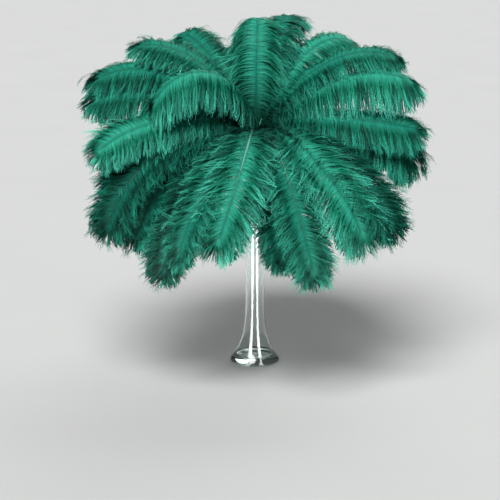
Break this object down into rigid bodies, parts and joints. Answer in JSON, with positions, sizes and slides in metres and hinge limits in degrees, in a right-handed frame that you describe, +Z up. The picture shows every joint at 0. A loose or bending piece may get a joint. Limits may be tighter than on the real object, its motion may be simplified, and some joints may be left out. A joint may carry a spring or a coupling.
{
  "type": "ostrich feather arrangement in a vase",
  "caption": "Dyed ostrich feathers standing in a tall clear glass trumpet vase, arching up and out and drooping all round into a full fountain-shaped head.",
  "frame": {"origin": "centre of the vase foot's flat underside", "axes": "+Z up along the vase's axis; -Y is the front of the arrangement"},
  "size_m": [0.7391, 0.6958, 0.7605],
  "materials": {
    "clear_glass": "clear, smooth, fire polished",
    "dyed_feather": "soft dyed plume, matt with a light silky sheen"
  },
  "bodies": {
    "root": {"vase": "clear_glass", "feather_upright_01": "dyed_feather", "feather_upright_02": "dyed_feather", "feather_upright_03": "dyed_feather", "feather_upright_04": "dyed_feather", "feather_upright_05": "dyed_feather", "feather_upright_06": "dyed_feather", "feather_arching_01": "dyed_feather", "feather_arching_02": "dyed_feather", "feather_arching_03": "dyed_feather", "feather_arching_04": "dyed_feather", "feather_arching_05": "dyed_feather", "feather_arching_06": "dyed_feather", "feather_arching_07": "dyed_feather", "feather_arching_08": "dyed_feather", "feather_arching_09": "dyed_feather", "feather_arching_10": "dyed_feather", "feather_arching_11": "dyed_feather", "feather_arching_12": "dyed_feather", "feather_drooping_01": "dyed_feather", "feather_drooping_02": "dyed_feather", "feather_drooping_03": "dyed_feather", "feather_drooping_04": "dyed_feather", "feather_drooping_05": "dyed_feather", "feather_drooping_06": "dyed_feather", "feather_drooping_07": "dyed_feather", "feather_drooping_08": "dyed_feather", "feather_drooping_09": "dyed_feather", "feather_drooping_10": "dyed_feather", "feather_drooping_11": "dyed_feather", "feather_drooping_12": "dyed_feather", "feather_drooping_13": "dyed_feather", "feather_drooping_14": "dyed_feather", "feather_drooping_15": "dyed_feather", "feather_drooping_16": "dyed_feather"}
  },
  "joints": []
}
